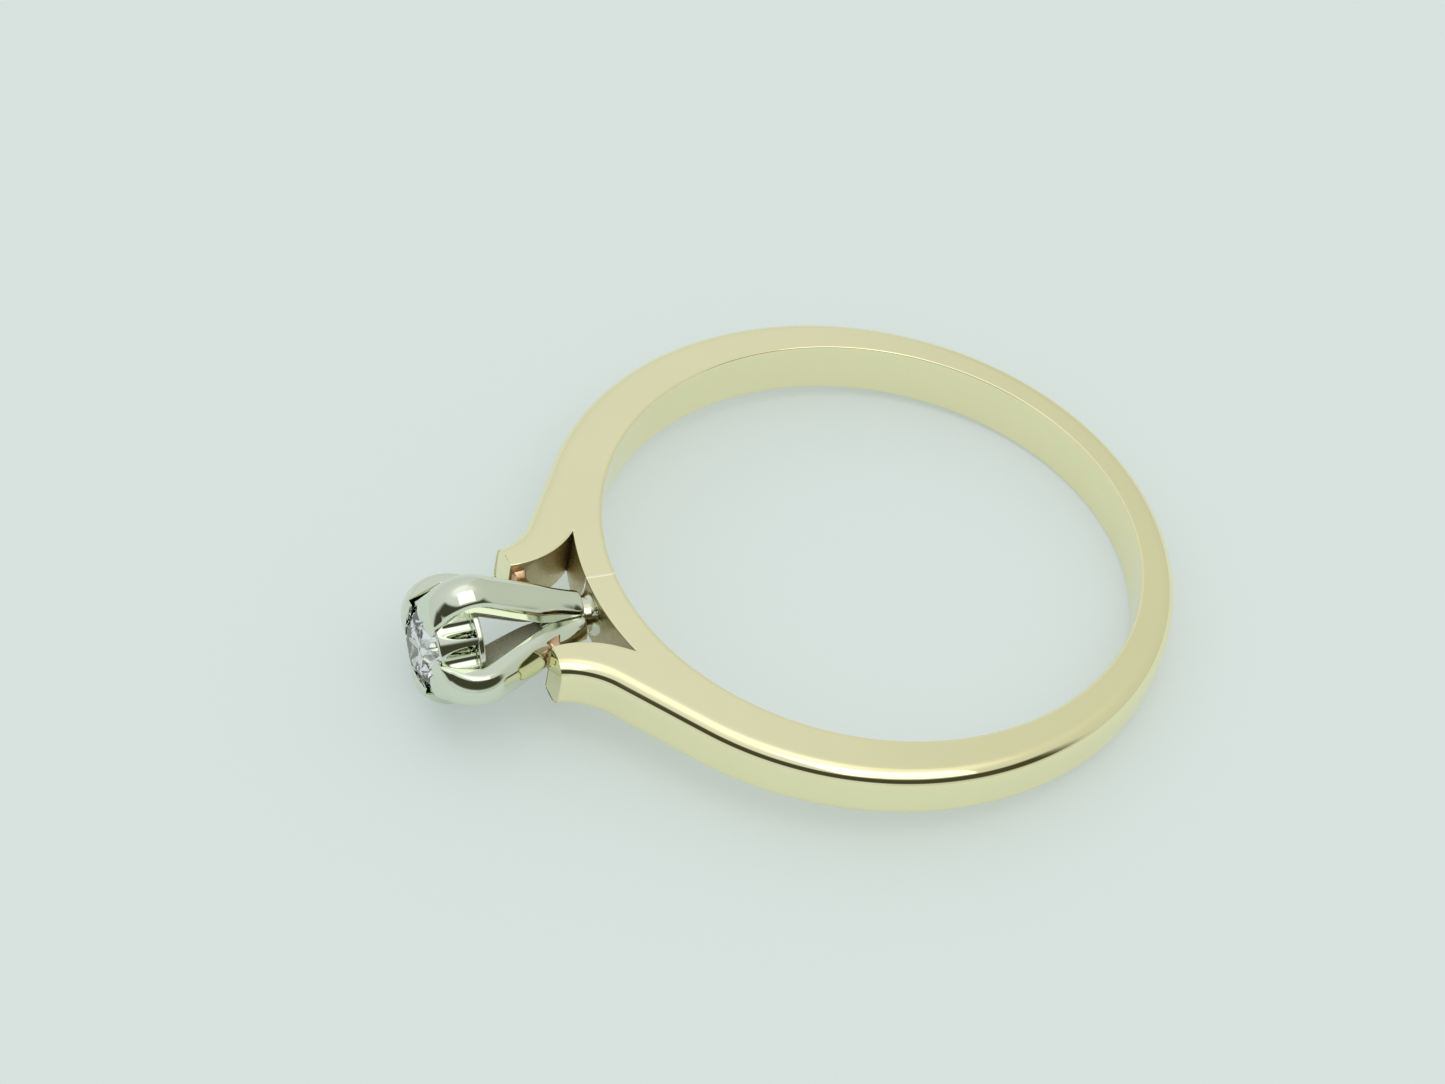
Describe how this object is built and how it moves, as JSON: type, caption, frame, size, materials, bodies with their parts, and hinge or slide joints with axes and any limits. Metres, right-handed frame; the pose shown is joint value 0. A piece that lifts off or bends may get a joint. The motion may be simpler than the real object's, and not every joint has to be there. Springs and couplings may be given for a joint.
{
  "type": "engagement ring",
  "caption": "Two-tone solitaire ring: flat-sided yellow band with split shoulders and bridge, white claw head with fluted cup around a small round stone.",
  "frame": {"origin": "centre of the finger hole, halfway through the band's width", "axes": "+Z along the finger axis (the ring lies on its side), -Y from the finger hole to the head and stone, +X across the head"},
  "size_m": [0.0202, 0.0252, 0.005],
  "materials": {
    "yellow_gold": "polished",
    "gold_solder": "polished",
    "white_metal": "polished",
    "white_solder": "satin",
    "stone": "faceted"
  },
  "bodies": {
    "root": {"shank": "yellow_gold", "bridge_seam_solder": "gold_solder", "head_base": "white_metal", "peg_solder": "white_solder", "claw_right": "white_metal", "claw_upper": "white_metal", "claw_left": "white_metal", "claw_lower": "white_metal", "gallery_rail": "white_metal", "stone_cup": "white_metal", "diamond": "stone", "shoulder_solder_right": "gold_solder", "shoulder_solder_left": "gold_solder"}
  },
  "joints": []
}
